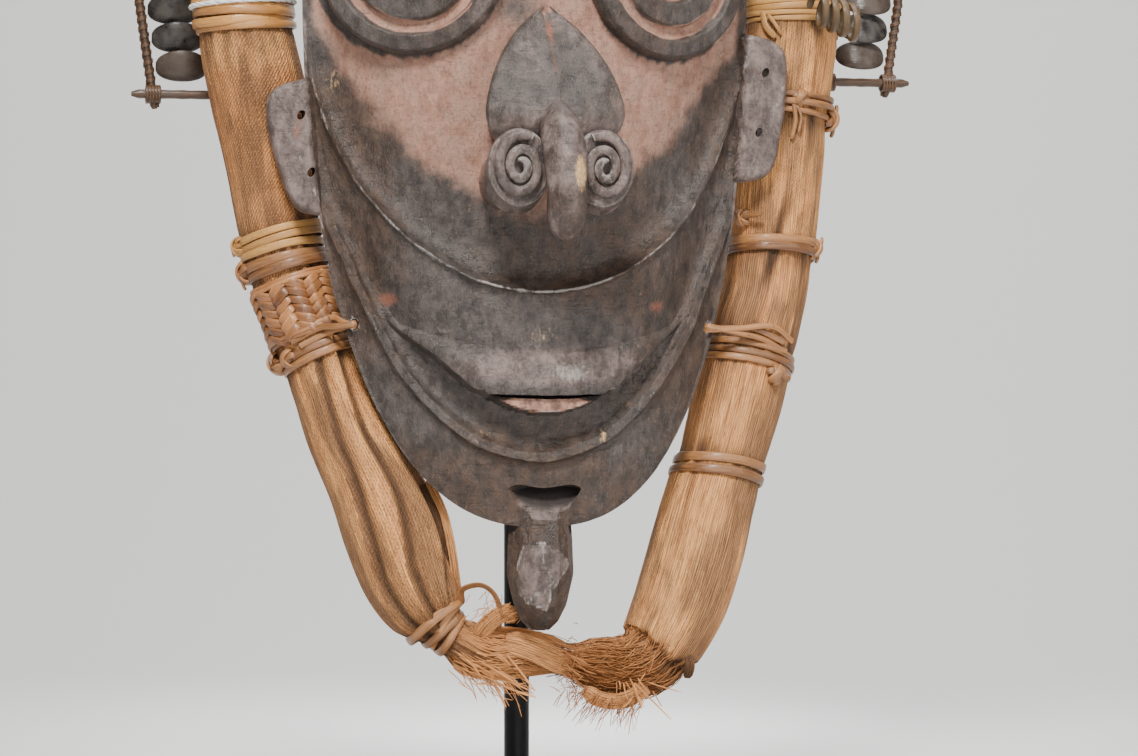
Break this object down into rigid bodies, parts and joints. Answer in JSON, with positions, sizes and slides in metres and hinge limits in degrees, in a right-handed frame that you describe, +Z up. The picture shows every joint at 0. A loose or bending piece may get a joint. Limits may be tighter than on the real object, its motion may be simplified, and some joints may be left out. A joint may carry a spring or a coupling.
{
  "type": "sepik mask",
  "caption": "Carved wooden spirit mask with beak nose and ringed eyes, flanked by tied fibre rolls and a shell ruff, on a rod stand.",
  "frame": {"origin": "centre of the foot plate's underside", "axes": "+Z up along the rod, -Y the way the mask looks, +X to the viewer's right"},
  "size_m": [0.4184, 0.1904, 0.6132],
  "materials": {
    "carved_wood": "dark soot patina with pink earth paint, matte, worn edges",
    "spathe": "dry fibrous palm spathe, matte",
    "rattan_orange": "glossy orange rattan strip",
    "rattan_brown": "satin brown rattan strip",
    "rattan_braid": "satin braided rattan",
    "bast_yellow": "frayed yellow bast",
    "cotton": "white cotton string",
    "cane": "brown cane",
    "shell": "grey worn shell, satin",
    "black_steel": "satin black steel"
  },
  "bodies": {
    "root": {"cane_coil": "cane", "mask": "carved_wood", "roll_left": "spathe", "roll_right": "spathe", "shell_01": "shell", "shell_02": "shell", "shell_03": "shell", "shell_04": "shell", "shell_05": "shell", "shell_06": "shell", "shell_07": "shell", "shell_08": "shell", "shell_09": "shell", "shell_10": "shell", "shell_11": "shell", "shell_12": "shell", "shell_13": "shell", "shell_14": "shell", "shell_15": "shell", "shell_16": "shell", "shell_17": "shell", "shell_18": "shell", "shell_19": "shell", "shell_20": "shell", "shell_21": "shell", "shell_22": "shell", "shell_23": "shell", "shell_24": "shell", "shell_25": "shell", "shell_26": "shell", "shell_27": "shell", "shell_28": "shell", "shell_29": "shell", "shell_30": "shell", "shell_31": "shell", "shell_32": "shell", "shell_33": "shell", "shell_34": "shell", "shell_35": "shell", "shell_36": "shell", "shell_frame": "cane", "sleeve_left": "rattan_braid", "stand_base": "black_steel", "stand_rod": "black_steel", "tie_crown": "rattan_brown", "tie_left_lower": "rattan_brown", "tie_left_neck": "rattan_brown", "tie_left_top": "rattan_orange", "tie_left_upper": "rattan_brown", "tie_left_yellow": "bast_yellow", "tie_right_bast": "bast_yellow", "tie_right_double": "rattan_brown", "tie_right_flat": "rattan_brown", "tie_right_triple": "rattan_brown", "tie_right_twist": "rattan_brown", "white_string": "cotton"}
  },
  "joints": []
}
